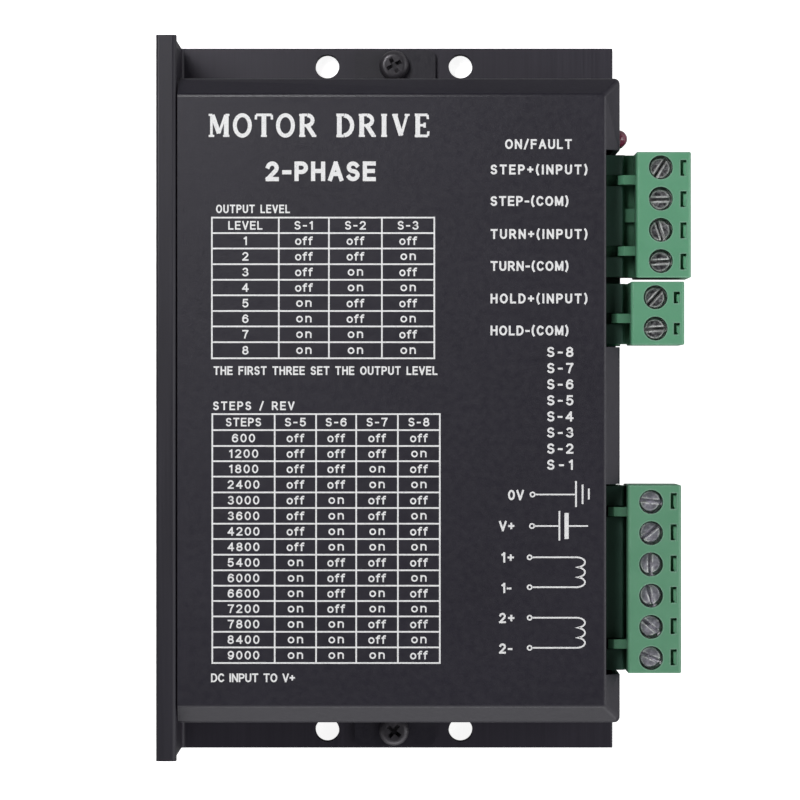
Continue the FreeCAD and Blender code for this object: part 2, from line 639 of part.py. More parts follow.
# ---------------------------------------------------------------- build
save("heatsink", heatsink())
save("cover", cover())
save("cover_screws", *cover_screws())

all_pins = []
for name, plug in PLUGS.items():
    pins = header_pins(plug)
    save("header_" + name, header(plug, pins))
    all_pins += pins
save("header_pins", *all_pins)

save("dip_body", dip_body())
for number, y in enumerate(DIP_YS, 1):      # slider 1 is at the -Y end
    save("dip_slider_%d" % number, dip_slider(y))

for name, (z, lead_x) in LAMPS.items():
    save("led_" + name, lamp(z, lead_x))
save("capacitors", *[capacitor(x) for x in CAPS_X])
save("power_transistors", *[power_transistor(y) for y in TR_YS])
save("thermal_pad", thermal_pad())
save("transistor_screws", *transistor_screws())
save("microcontroller", chip(4.0, 18.0, 10.0, 10.0, 1.4, pitch=0.8, lead_w=0.36,
                             y_side_leads=12, x_side_leads=12))
save("gate_drivers", *[chip(-19.0, y, 3.9, 4.9, 1.6, pitch=1.27, lead_w=0.42,
                            x_side_leads=4, reach=1.0) for y in (-33.0, -11.0, 11.0, 33.0)])
save("optocouplers", *[chip(20.0, y, 4.6, 6.5, 3.4, pitch=2.54, lead_w=0.6,
                            x_side_leads=2, reach=1.2) for y in (37.0, 28.5, 20.0)])
save("sense_resistors", *[sense_resistor(y) for y in (-26.0, -36.0)])
save("inductor", inductor())

save("circuit_board", circuit_board())
save("board_standoffs", *[standoff(x, y) for x, y in BOARD_SCREWS])
save("board_screws", *board_screws())

for name, plug in PLUGS.items():
    face = plug["face_x"]
    screw_x = face + plug["screw_x"]
    for number, (y, angle) in enumerate(zip(pole_ys(plug), plug["angles"]), 1):
        save("screw_%s_%d" % (name, number), terminal_screw(screw_x, y, angle))
        save("clamp_%s_%d" % (name, number), wire_clamp(face, screw_x, y))
    save("plug_" + name, plug_housing(plug))
    save("contacts_" + name, *[contact(face, y) for y in pole_ys(plug)])
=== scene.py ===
"""A two-phase motor drive module, seen from straight above.

The CAD pieces lie with the cover's printed face up (+Z). The printed title is at the +Y end and
the terminal labels are along the +X side. This script gives the pieces materials and rounded
edges, prints the label as thin raised ink, and sets up the floor, lights and camera.
The scene is in metres; the printing is laid out in millimetres.
"""

import math
from functools import cached_property

import bmesh
import bpy
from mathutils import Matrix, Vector

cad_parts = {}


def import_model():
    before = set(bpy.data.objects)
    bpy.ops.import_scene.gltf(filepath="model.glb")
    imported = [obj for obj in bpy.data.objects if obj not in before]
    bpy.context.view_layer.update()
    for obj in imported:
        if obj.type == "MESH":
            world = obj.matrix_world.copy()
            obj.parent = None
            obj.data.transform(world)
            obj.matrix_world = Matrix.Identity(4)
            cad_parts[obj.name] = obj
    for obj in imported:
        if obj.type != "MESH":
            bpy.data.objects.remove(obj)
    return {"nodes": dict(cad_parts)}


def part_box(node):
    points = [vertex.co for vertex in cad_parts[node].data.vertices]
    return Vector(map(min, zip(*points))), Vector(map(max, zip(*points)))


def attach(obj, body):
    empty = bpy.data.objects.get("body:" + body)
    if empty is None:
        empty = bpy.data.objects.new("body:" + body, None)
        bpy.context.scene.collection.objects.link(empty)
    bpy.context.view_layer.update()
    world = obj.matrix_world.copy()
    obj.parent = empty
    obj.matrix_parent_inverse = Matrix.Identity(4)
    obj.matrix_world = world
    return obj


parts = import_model()["nodes"]
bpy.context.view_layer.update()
scene = bpy.context.scene


# ------------------------------------------------------------------ node helpers
def grey(value):
    return (value,) * 3


class Graph:
    """A node tree, with short ways to add and join its nodes."""

    def __init__(self, tree):
        self.tree = tree
        tree.nodes.clear()

    def put(self, socket, value):
        """Link an output to the socket, or set the socket's own value."""
        if hasattr(value, "is_output"):
            self.tree.links.new(value, socket)
        else:
            socket.default_value = value

    def node(self, kind, inputs=None, **settings):
        made = self.tree.nodes.new("ShaderNode" + kind)
        for key, value in settings.items():
            setattr(made, key, value)
        for key, value in (inputs or {}).items():
            self.put(made.inputs[key], value)
        return made

    def math(self, operation, a, b=0.0):
        return self.node("Math", {0: a, 1: b}, operation=operation).outputs[0]


class Surface(Graph):
    """A material with a Principled shader, textured in object coordinates."""

    def __init__(self, name):
        self.material = bpy.data.materials.new(name)
        self.material.use_nodes = True
        super().__init__(self.material.node_tree)
        output = self.node("OutputMaterial")
        self.shader = self.node("BsdfPrincipled")
        self.put(output.inputs[0], self.shader.outputs[0])

    @cached_property
    def place(self):
        return self.node("TexCoord").outputs["Object"]

    def look(self, socket, value):
        self.put(self.shader.inputs[socket], value)

    def noise(self, scale, detail=2.0, rough=0.5, distortion=0.0, stretch=None):
        vector = self.place
        if stretch:
            vector = self.node("Mapping", {"Vector": vector, "Scale": stretch}).outputs[0]
        return self.node("TexNoise", {
            "Vector": vector, "Scale": scale, "Detail": detail,
            "Roughness": rough, "Distortion": distortion,
        }).outputs[0]

    def voronoi(self, scale, feature="F1"):
        cells = self.node("TexVoronoi", {"Vector": self.place, "Scale": scale}, feature=feature)
        return cells.outputs["Distance"]

    def ramp(self, value, stops):
        made = self.node("ValToRGB", {0: value})
        elements = made.color_ramp.elements
        while len(elements) > 1:
            elements.remove(elements[-1])
        elements[0].position = stops[0][0]
        elements[0].color = (*stops[0][1], 1)
        for position, colour in stops[1:]:
            elements.new(position).color = (*colour, 1)
        return made.outputs[0]

    def fade(self, value, dark, light, span=(0.3, 0.7)):
        """A two-colour ramp over the span."""
        return self.ramp(value, [(span[0], dark), (span[1], light)])

    def remap(self, value, span=(0.0, 1.0), to=(0.0, 1.0)):
        return self.node("MapRange", dict(enumerate((value, *span, *to)))).outputs[0]

    def mix(self, factor, a, b, mode="MIX"):
        a, b = ((*c, 1) if isinstance(c, tuple) else c for c in (a, b))
        inputs = {"Factor": factor, 6: a, 7: b}
        return self.node("Mix", inputs, data_type="RGBA", blend_type=mode).outputs[2]

    def multiply(self, a, b):
        return self.mix(1.0, a, b, "MULTIPLY")

    def upward(self, vector=None):
        """The Z part of a vector, or the height in the object."""
        return self.node("SeparateXYZ", {0: vector or self.place}).outputs[2]

    def edge(self, radius, span):
        """1 on sharp edges, 0 on flats: how far the rounded normal leans from the true one."""
        rounded = self.node("Bevel", {"Radius": radius}, samples=6).outputs[0]
        true = self.node("NewGeometry").outputs["Normal"]
        dot = self.node("VectorMath", {0: rounded, 1: true}, operation="DOT_PRODUCT")
        return self.remap(self.math("SUBTRACT", 1.0, dot.outputs["Value"]), span=span)

    def crevice(self, reach, floor):
        """1 in the open and near the top face, down to floor where close walls shut light out."""
        light = self.node("AmbientOcclusion", {"Distance": reach}, samples=8).outputs["AO"]
        shade = self.remap(light, span=(0.25, 0.85), to=(floor, 1.0))
        return self.math("MAXIMUM", shade, self.remap(self.upward(), span=(0.0312, 0.0316)))

    def bump(self, height, strength, distance, below=None):
        inputs = {"Strength": strength, "Distance": distance, "Height": height}
        if below is not None:
            inputs["Normal"] = below
        normal = self.node("Bump", inputs).outputs[0]
        self.look("Normal", normal)
        return normal


# ------------------------------------------------------------------ materials
def cover_paint():
    s = Surface("cover_paint")
    broad = s.noise(scale=55.0, detail=3.0, rough=0.55)
    fine = s.noise(scale=5200.0, rough=0.6)
    specks = s.voronoi(scale=2100.0)
    base = s.fade(broad, (0.0116, 0.0100, 0.0176), (0.0152, 0.0133, 0.0222), span=(0.25, 0.75))
    dots = s.ramp(specks, [(0.0, grey(1.22)), (0.35, grey(1.0)), (1.0, grey(0.93))])
    s.look("Base Color", s.multiply(base, dots))
    s.look("Roughness", s.remap(s.noise(scale=900.0), span=(0.3, 0.7), to=(0.37, 0.45)))
    s.look("Specular IOR Level", 0.5)
    grain = s.bump(fine, strength=0.16, distance=0.00006)
    s.bump(specks, strength=0.08, distance=0.00008, below=grain)
    return s.material


def anodised():
    s = Surface("black_anodised")
    # faint drawing lines run along Y
    drawn = s.noise(scale=1.0, detail=3.0, rough=0.6, stretch=(4200.0, 40.0, 4200.0))
    fine = s.noise(scale=7000.0, rough=0.6)
    base = s.fade(s.noise(scale=40.0), (0.0138, 0.0122, 0.0190), (0.0180, 0.0161, 0.0244))
    lines = s.fade(drawn, grey(0.90), grey(1.12))
    # painted light: paler low down than near the top, which lights up the low flanges in colour
    height = s.remap(s.upward(), span=(0.004, 0.030))
    painted_low_light = s.fade(height, (1.65, 1.62, 1.60), grey(0.92), span=(0.0, 1.0))
    s.look("Base Color", s.multiply(s.multiply(base, lines), painted_low_light))
    s.look("Metallic", 0.15)
    s.look("Roughness", s.remap(drawn, span=(0.25, 0.75), to=(0.38, 0.50)))
    grooves = s.bump(drawn, strength=0.10, distance=0.00005)
    s.bump(fine, strength=0.10, distance=0.00004, below=grooves)
    return s.material


def terminal_painted_light(s, base, dark, light, shade):
    """Painted shade in crevices, painted highlights on rims near the top and painted light on
    recess floors, as a colour over the base.
    """
    opening = s.crevice(reach=0.0035, floor=shade)
    # painted shade: the colour goes nearly black where close walls shut light out
    base = s.mix(opening, tuple(v * 0.05 for v in dark), base)
    s.look("Specular IOR Level", s.math("MULTIPLY", opening, 0.5))
    # painted highlight: edges near the top go pale
    near_top = s.remap(s.upward(), span=(0.0322, 0.0326), to=(0.0, 0.42))
    rim = s.math("MULTIPLY", s.edge(radius=0.00045, span=(0.01, 0.09)), near_top)
    base = s.mix(rim, base, (0.30, 0.42, 0.36))
    # painted light: the small recess floors beside the screws are brightened in colour against
    # the shade of their walls
    normal = s.node("NewGeometry").outputs["Normal"]
    facing_up = s.remap(s.upward(normal), span=(0.85, 0.95))
    above = s.remap(s.upward(), span=(0.0310, 0.0312))
    below = s.remap(s.upward(), span=(0.0321, 0.0323), to=(1.0, 0.0))
    painted_floor_light = s.math("MULTIPLY", facing_up, s.math("MULTIPLY", above, below))
    return s.mix(painted_floor_light, base, tuple(v * 1.55 for v in light))


def moulded(name, dark, light, rough=0.40, grain=3000.0, relief=0.10, glow=0.0, shade=None):
    """Moulded plastic. glow is its subsurface weight; shade, if given, adds painted shade in
    crevices, painted rim highlights and painted light on recess floors.
    """
    s = Surface(name)
    broad = s.noise(scale=180.0, detail=3.0, rough=0.55, distortion=0.4)
    fine = s.noise(scale=grain, rough=0.6)
    base = s.fade(broad, dark, light, span=(0.25, 0.75))
    if shade:
        base = terminal_painted_light(s, base, dark, light, shade)
    else:
        s.look("Specular IOR Level", 0.5)
    s.look("Base Color", base)
    s.look("Roughness", s.remap(fine, span=(0.3, 0.7), to=(rough - 0.05, rough + 0.06)))
    if glow:
        s.look("Subsurface Weight", glow)
        s.look("Subsurface Radius", (0.4, 1.0, 0.5))
        s.look("Subsurface Scale", 0.0006)
    s.bump(fine, strength=relief, distance=0.00006)
    return s.material


def metal(name, dark, light, rough, metallic=1.0, grain=3000.0, relief=0.12):
    s = Surface(name)
    lines = s.noise(scale=1.0, detail=4.0, rough=0.65, stretch=grey(grain))
    blotch = s.noise(scale=420.0, detail=3.0, rough=0.6)
    s.look("Base Color", s.mix(0.35, s.fade(blotch, dark, light), s.fade(lines, dark, light)))
    s.look("Metallic", metallic)
    s.look("Roughness", s.remap(lines, span=(0.25, 0.75), to=(rough - 0.08, rough + 0.12)))
    s.bump(lines, strength=relief, distance=0.00004)
    return s.material


def screw_plating(name, dark, mid, light, metallic, rough, glint_floor, grain, in_slot=1.0):
    """Mottled dull plating with fine scratches, and a painted glint of bright colour along its
    edges.

    glint_floor is the least painted glint on an edge; in_slot brightens the low parts as painted
    light.
    """
    s = Surface(name)
    scratch = s.noise(scale=1.0, detail=4.0, rough=0.7, stretch=(900.0, 9000.0, 900.0))
    blotch = s.noise(scale=grain, detail=3.0, rough=0.65)
    colour = s.ramp(blotch, [(0.34, dark), (0.5, mid), (0.66, light)])
    patches = s.noise(scale=800.0, detail=3.0, rough=0.7)
    patches = s.remap(patches, span=(0.42, 0.56), to=(glint_floor, 1.0))
    # painted glint: near-white colour on the edges stands in for the light they catch
    painted_glint = s.math("MULTIPLY", s.edge(radius=0.00055, span=(0.008, 0.045)), patches)
    # painted light: the low parts, such as the slot floors, are brightened by in_slot
    height = s.remap(s.upward(), span=(0.0306, 0.0312))
    colour = s.multiply(colour, s.fade(height, grey(in_slot), grey(1.0), span=(0.0, 1.0)))
    s.look("Base Color", s.mix(painted_glint, colour, (0.97, 0.95, 0.96)))
    s.look("Metallic", s.remap(painted_glint, to=(metallic, 0.0)))
    dull = s.remap(scratch, span=(0.3, 0.7), to=(rough - 0.06, rough + 0.08))
    s.look("Roughness", s.math("SUBTRACT", dull, s.math("MULTIPLY", painted_glint, 0.06)))
    scratches = s.bump(scratch, strength=0.18, distance=0.00004)
    s.bump(blotch, strength=0.30, distance=0.00008, below=scratches)
    return s.material


def lamp_resin(name, dark, light):
    s = Surface(name)
    s.look("Base Color", s.fade(s.noise(scale=700.0), dark, light))
    s.look("Roughness", 0.12)
    s.look("Transmission Weight", 0.45)
    s.look("IOR", 1.5)
    s.look("Coat Weight", 0.4)
    s.bump(s.noise(scale=1500.0), strength=0.03, distance=0.00005)
    return s.material


def solder_mask():
    s = Surface("solder_mask")
    # copper tracks show as paler runs under the green mask
    tracks = s.voronoi(scale=260.0, feature="DISTANCE_TO_EDGE")
    gap = (0.010, 0.060, 0.032)
    s.look("Base Color", s.ramp(tracks, [
        (0.0, gap), (0.08, gap), (0.10, (0.018, 0.105, 0.050)), (1.0, (0.016, 0.095, 0.046)),
    ]))
    s.look("Roughness", 0.3)
    s.look("Coat Weight", 0.3)
    s.bump(tracks, strength=0.15, distance=0.00004)
    return s.material


def white_ink():
    s = Surface("white_ink")
    grain = s.noise(scale=3800.0, detail=3.0, rough=0.7)
    s.look("Base Color", s.ramp(grain, [
        (0.22, (0.42, 0.42, 0.43)), (0.42, (0.72, 0.72, 0.73)), (0.8, grey(0.86)),
    ]))
    s.look("Roughness", s.remap(grain, span=(0.3, 0.7), to=(0.45, 0.6)))
    s.bump(grain, strength=0.1, distance=0.00002)
    return s.material


materials = {
    "cover": cover_paint(),
    "anodised": anodised(),
    "green": moulded("terminal_moulding", (0.099, 0.292, 0.170), (0.121, 0.326, 0.196),
                     rough=0.36, grain=2600.0, glow=0.12, shade=0.31),
    "green_dull": moulded("terminal_moulding_dull", (0.096, 0.258, 0.154),
                          (0.117, 0.290, 0.178), rough=0.38, grain=2600.0, glow=0.12,
                          shade=0.26),
    # painted shade: the headers get a much darker copy of the plugs' green for the shadow they
    # sit in
    "green_painted_shade": moulded("header_moulding_painted_shade", (0.020, 0.062, 0.044), (0.028, 0.082, 0.056),
                          rough=0.44, grain=2600.0),
    "switch": moulded("switch_moulding", (0.010, 0.045, 0.210), (0.014, 0.060, 0.260),
                      rough=0.38),
    "slider": moulded("slider_moulding", (0.66, 0.65, 0.61), (0.76, 0.75, 0.71),
                      rough=0.35, glow=0.1),
    "epoxy": moulded("black_epoxy", (0.012, 0.012, 0.013), (0.020, 0.020, 0.021),
                     rough=0.55, grain=6000.0, relief=0.2),
    "white_epoxy": moulded("pale_epoxy", (0.55, 0.55, 0.52), (0.66, 0.66, 0.62),
                           rough=0.5, grain=6000.0, relief=0.2),
    "ferrite": moulded("ferrite_grey", (0.03, 0.03, 0.032), (0.05, 0.05, 0.052),
                       rough=0.7, grain=4000.0, relief=0.35),
    "pad": moulded("silicone_pad", (0.30, 0.31, 0.36), (0.36, 0.37, 0.42),
                   rough=0.75, grain=2500.0, relief=0.3),
    "sleeve": moulded("capacitor_sleeve", (0.010, 0.011, 0.030), (0.016, 0.017, 0.045),
                      rough=0.28, grain=1200.0, relief=0.05),
    "blackened": metal("blackened_steel", (0.034, 0.032, 0.038), (0.075, 0.070, 0.080),
                       rough=0.34, metallic=0.35, grain=2500.0, relief=0.25),
    "screw": screw_plating("screw_plating_bright", (0.030, 0.027, 0.033),
                           (0.105, 0.096, 0.110), (0.40, 0.38, 0.41), metallic=0.45,
                           rough=0.27, glint_floor=0.60, grain=1900.0),
    "screw_dull": screw_plating("screw_plating_dull", (0.185, 0.172, 0.212),
                                (0.305, 0.284, 0.342), (0.47, 0.44, 0.52), metallic=0.18,
                                rough=0.42, glint_floor=0.0, grain=1500.0, in_slot=1.75),
    "zinc": metal("zinc_plating", (0.42, 0.43, 0.45), (0.60, 0.61, 0.63), rough=0.30),
    "tin": metal("tin_plating", (0.50, 0.50, 0.49), (0.68, 0.68, 0.66), rough=0.34),
    "brass": metal("plated_brass", (0.55, 0.42, 0.20), (0.72, 0.58, 0.32), rough=0.30),
    "clamp": metal("clamp_plating", (0.46, 0.44, 0.38), (0.62, 0.60, 0.53), rough=0.32),
    "red": lamp_resin("red_resin", (0.24, 0.031, 0.078), (0.39, 0.052, 0.135)),
    "lime": lamp_resin("green_resin", (0.03, 0.32, 0.05), (0.06, 0.50, 0.09)),
    "board": solder_mask(),
    "ink": white_ink(),
}

# ------------------------------------------------------------------ pieces
PIECE_MATERIAL = {
    "heatsink": "anodised", "cover": "cover", "cover_screws": "blackened",
    "circuit_board": "board", "board_standoffs": "brass", "board_screws": "zinc",
    "header_4way": "green_painted_shade", "header_2way": "green_painted_shade", "header_6way": "green_painted_shade",
    "header_pins": "tin", "dip_body": "switch", "led_power": "lime", "led_alarm": "red",
    "capacitors": "sleeve", "power_transistors": "epoxy", "thermal_pad": "pad",
    "transistor_screws": "zinc", "microcontroller": "epoxy", "gate_drivers": "epoxy",
    "optocouplers": "white_epoxy", "sense_resistors": "ferrite", "inductor": "ferrite",
}
# For other pieces the first matching start of the name decides.
FAMILY_MATERIAL = (
    ("dip_slider", "slider"), ("plug_6way", "green_dull"), ("plug_", "green"),
    ("contacts_", "tin"), ("screw_6way", "screw_dull"), ("screw_", "screw"),
    ("clamp_", "clamp"),
)
# Widths of the rounded edges, in mm.
PIECE_EDGE = {
    "heatsink": 0.14, "cover": 0.10, "plug_4way": 0.10, "plug_2way": 0.10, "plug_6way": 0.10,
    "header_4way": 0.10, "header_2way": 0.10, "header_6way": 0.10, "dip_body": 0.08,
    "circuit_board": 0.05, "cover_screws": 0.06,
}
FAMILY_EDGE = (("screw_6way", 0.06), ("screw_", 0.12), ("dip_slider", 0.05))


def by_family(name, families):
    return next((value for start, value in families if name.startswith(start)), None)


def round_edges(obj, width):
    """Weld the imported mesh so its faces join, then bevel its sharp edges."""
    weld = obj.modifiers.new("weld", "WELD")
    weld.merge_threshold = 2e-6
    bevel = obj.modifiers.new("bevel", "BEVEL")
    bevel.width = width / 1000.0
    bevel.segments = 2
    bevel.limit_method = "ANGLE"
    bevel.angle_limit = math.radians(28)
    bevel.use_clamp_overlap = True
    bevel.harden_normals = False
    bevel.miter_outer = "MITER_ARC"


for name, obj in parts.items():
    key = PIECE_MATERIAL.get(name) or by_family(name, FAMILY_MATERIAL)
    obj.data.materials.clear()
    obj.data.materials.append(materials[key])
    width = PIECE_EDGE.get(name) or by_family(name, FAMILY_EDGE)
    if width:
        round_edges(obj, width)


# ------------------------------------------------------------------ lettering
def arc(cx, cy, rx, ry, start, end):
    steps = max(3, int(abs(end - start) / 20))
    angles = [math.radians(start + (end - start) * i / steps) for i in range(steps + 1)]
    return [(cx + rx * math.cos(a), cy + ry * math.sin(a)) for a in angles]


def loop(cx, cy, rx, ry, steps=18):
    angles = [2 * math.pi * i / steps for i in range(steps)]
    return [(cx + rx * math.cos(a), cy + ry * math.sin(a)) for a in angles] + ["closed"]


# Plain single-line lettering, ten units tall: character -> (width, strokes along centre lines).
STEM = [(0, 0), (0, 10)]
TOP_BAR = [(0, 10), (5.8, 10)]
BOWL = [(0, 10), (3.2, 10)] + arc(3.2, 7.3, 2.8, 2.7, 90, -90)[1:] + [(0, 4.6)]
PLAIN = {
    "0": (6.0, [loop(3, 5, 3, 5)]),
    "1": (3.4, [[(2.7, 0), (2.7, 10)], [(2.6, 9.8), (0.5, 8.2)]]),
    "2": (6.0, [arc(3, 7.2, 2.8, 2.8, 165, -38) + [(0.2, 0.2)], [(0, 0), (6, 0)]]),
    "3": (6.0, [arc(2.9, 7.6, 2.5, 2.4, 155, -90) + arc(2.9, 2.6, 3.0, 2.6, 90, -155)[1:]]),
    "4": (6.4, [[(4.7, 0), (4.7, 10)], [(4.5, 9.8), (0.1, 3.1)], [(0, 2.9), (6.4, 2.9)]]),
    "5": (6.0, [[(5.4, 10), (1.0, 10)], [(0.95, 9.8), (0.55, 5.4)],
                arc(2.95, 3.2, 3.0, 3.2, 138, -155)]),
    "6": (6.0, [loop(3, 3.1, 3.0, 3.1), arc(3.3, 4.6, 3.3, 5.4, 45, 178)]),
    "7": (6.0, [[(0, 10), (6, 10)], [(5.9, 9.8), (3.6, 5.4), (2.3, 0)]]),
    "8": (6.0, [loop(3, 7.65, 2.5, 2.35), loop(3, 2.65, 3.0, 2.65)]),
    "9": (6.0, [loop(3, 6.9, 3.0, 3.1), arc(2.7, 5.4, 3.3, 5.4, -135, -2)]),
    "A": (7.0, [[(0, 0), (3.4, 10)], [(3.6, 10), (7, 0)], [(1.4, 3.3), (5.6, 3.3)]]),
    "C": (6.6, [arc(3.6, 5, 3.6, 5, 42, 318)]),
    "D": (6.6, [STEM, [(0, 10), (2.6, 10)] + arc(2.6, 5, 4.0, 5, 90, -90)[1:] + [(0, 0)]]),
    "E": (5.8, [STEM, TOP_BAR, [(0, 5.2), (5.2, 5.2)], [(0, 0), (5.8, 0)]]),
    "F": (5.4, [STEM, [(0, 10), (5.4, 10)], [(0, 5.2), (4.8, 5.2)]]),
    "H": (6.4, [STEM, [(6.4, 0), (6.4, 10)], [(0, 5.2), (6.4, 5.2)]]),
    "I": (0.4, [[(0.2, 0), (0.2, 10)]]),
    "L": (5.2, [STEM, [(0, 0), (5.2, 0)]]),
    "M": (8.0, [STEM, [(8, 0), (8, 10)], [(0.3, 9.8), (4, 0.8)], [(4, 0.8), (7.7, 9.8)]]),
    "N": (6.6, [STEM, [(6.6, 0), (6.6, 10)], [(0.3, 9.8), (6.3, 0.2)]]),
    "O": (7.6, [loop(3.8, 5, 3.8, 5)]),
    "P": (6.0, [STEM, BOWL]),
    "R": (6.4, [STEM, BOWL, [(3.1, 4.6), (6.4, 0)]]),
    "S": (6.0, [arc(3, 7.55, 2.7, 2.45, 28, 270) + arc(3, 2.55, 2.9, 2.55, 90, -155)[1:]]),
    "T": (6.6, [[(0, 10), (6.6, 10)], [(3.3, 10), (3.3, 0)]]),
    "U": (6.4, [[(0, 10)] + arc(3.2, 3.2, 3.2, 3.2, 180, 360) + [(6.4, 10)]]),
    "V": (6.8, [[(0, 10), (3.3, 0)], [(3.5, 0), (6.8, 10)]]),
    "o": (5.6, [loop(2.8, 3.6, 2.8, 3.6)]),
    "n": (5.0, [[(0, 0), (0, 7.2)], arc(2.5, 4.6, 2.5, 2.6, 170, 0) + [(5.0, 0)]]),
    "f": (3.2, [[(1.0, 0)] + arc(2.9, 8.0, 1.9, 2.0, 180, 75), [(-0.3, 6.9), (3.0, 6.9)]]),
    "+": (5.4, [[(0, 5), (5.4, 5)], [(2.7, 2.3), (2.7, 7.7)]]),
    "-": (3.4, [[(0, 4.4), (3.4, 4.4)]]),
    "(": (2.0, [arc(4.2, 4.8, 4.2, 7.4, 125, 235)]),
    ")": (2.0, [arc(-2.2, 4.8, 4.2, 7.4, 55, -55)]),
    "/": (4.0, [[(0, -0.6), (4.0, 10.6)]]),
    " ": (3.2, []),
}
# Heading letters with slab feet: each stroke is (weight, points).
THICK_STEM = (1.6, [(1.7, 0), (1.7, 10)])
HEADING = {
    "M": (10.4, [(1.5, [(2.0, 10), (5.3, 1.2)]), (0.8, [(5.3, 1.2), (8.6, 10)]),
                 (0.8, [(1.5, 0), (1.5, 10)]), (1.6, [(9.0, 0), (9.0, 10)]),
                 (0.6, [(0.1, 0), (2.9, 0)]), (0.6, [(7.4, 0), (10.6, 0)]),
                 (0.6, [(0.1, 10), (2.0, 10)]), (0.6, [(8.6, 10), (10.6, 10)])]),
    "O": (8.4, [(1.3, loop(4.2, 5, 3.8, 4.9, 26))]),
    "T": (8.4, [(1.6, [(4.2, 0), (4.2, 10)]), (0.8, [(0.3, 10), (8.1, 10)]),
                (0.6, [(2.7, 0), (5.7, 0)]), (0.7, [(0.25, 10), (0.1, 7.8)]),
                (0.7, [(8.15, 10), (8.3, 7.8)])]),
    "R": (8.8, [THICK_STEM, (0.8, [(1.7, 10), (4.4, 10)]),
                (1.3, arc(4.4, 7.4, 2.6, 2.4, 88, -88)), (0.8, [(4.4, 5.0), (1.7, 5.0)]),
                (1.4, [(4.3, 5.0), (7.6, 0.2)]), (0.6, [(0.2, 0), (3.3, 0)]),
                (0.6, [(6.7, 0), (8.9, 0)]), (0.6, [(0.2, 10), (1.8, 10)])]),
    "D": (8.8, [THICK_STEM, (0.8, [(0.2, 10), (4.0, 10)]),
                (1.4, arc(4.0, 5, 4.2, 4.75, 88, -88)), (0.8, [(4.0, 0), (0.2, 0)])]),
    "I": (3.4, [THICK_STEM, (0.6, [(0.2, 0), (3.2, 0)]), (0.6, [(0.2, 10), (3.2, 10)])]),
    "V": (8.6, [(1.6, [(1.2, 10), (4.4, 0.2)]), (0.8, [(4.4, 0.2), (7.4, 10)]),
                (0.6, [(-0.1, 10), (2.8, 10)]), (0.6, [(6.2, 10), (8.7, 10)])]),
    "E": (7.4, [THICK_STEM, (0.8, [(0.2, 10), (6.6, 10)]), (0.8, [(1.7, 5.1), (5.2, 5.1)]),
                (0.8, [(0.2, 0), (6.8, 0)]), (0.7, [(6.65, 10), (6.8, 8.0)]),
                (0.7, [(6.85, 0), (7.1, 2.2)]), (0.7, [(5.2, 6.3), (5.2, 3.9)])]),
    " ": (5.0, []),
}
HEADING_GAIN, HEADING_EXTRA = 1.22, 0.28  # heading weights are scaled, then thickened
STROKE_END = 0.46  # how far a plain stroke runs past its ends, in stroke weights
STROKE_LIFT = 0.0012  # each stroke of a letter stands this much above the one before, in mm

# ------------------------------------------------------------------ printing (mm)
cover_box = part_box("cover")
COVER_TOP = max(cover_box[0][2], cover_box[1][2]) * 1000
INK_BOTTOM, INK_TOP = COVER_TOP - 0.004, COVER_TOP + 0.022


